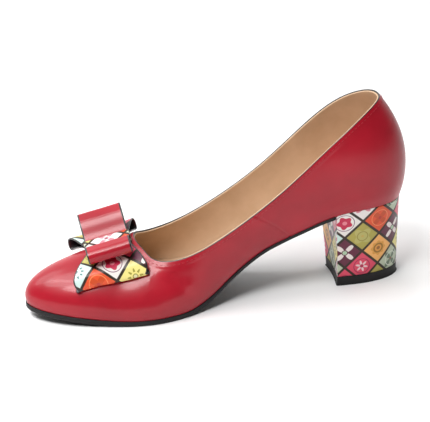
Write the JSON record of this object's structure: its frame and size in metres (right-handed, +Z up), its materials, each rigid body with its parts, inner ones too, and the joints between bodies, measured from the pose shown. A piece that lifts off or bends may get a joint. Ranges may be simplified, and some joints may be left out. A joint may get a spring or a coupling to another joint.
{
  "type": "leather court shoe",
  "caption": "Red leather court shoe for the right foot with an almond toe, a block heel covered in patchwork print, a thin black sole and a double bow on the vamp.",
  "frame": {"origin": "on the floor, under the middle of the shoe's box", "axes": "+X to the heel, -X to the toe, -Y to the inner side of the foot, +Y to the outer side, +Z up"},
  "size_m": [0.2397, 0.0761, 0.12],
  "materials": {
    "red_leather": "smooth red leather with a soft gloss",
    "lining_leather": "matte beige lining leather",
    "printed_leather": "smooth leather printed with patchwork tiles in olive, orange, cream, pink and plum",
    "black_sole": "black sole and top piece with a dull sheen"
  },
  "bodies": {
    "root": {"upper": "red_leather", "insole": "lining_leather", "outsole": "black_sole", "heel_block": "printed_leather", "heel_lift": "black_sole", "bow_under": "printed_leather", "bow_top": "red_leather", "bow_knot": "printed_leather"}
  },
  "joints": []
}
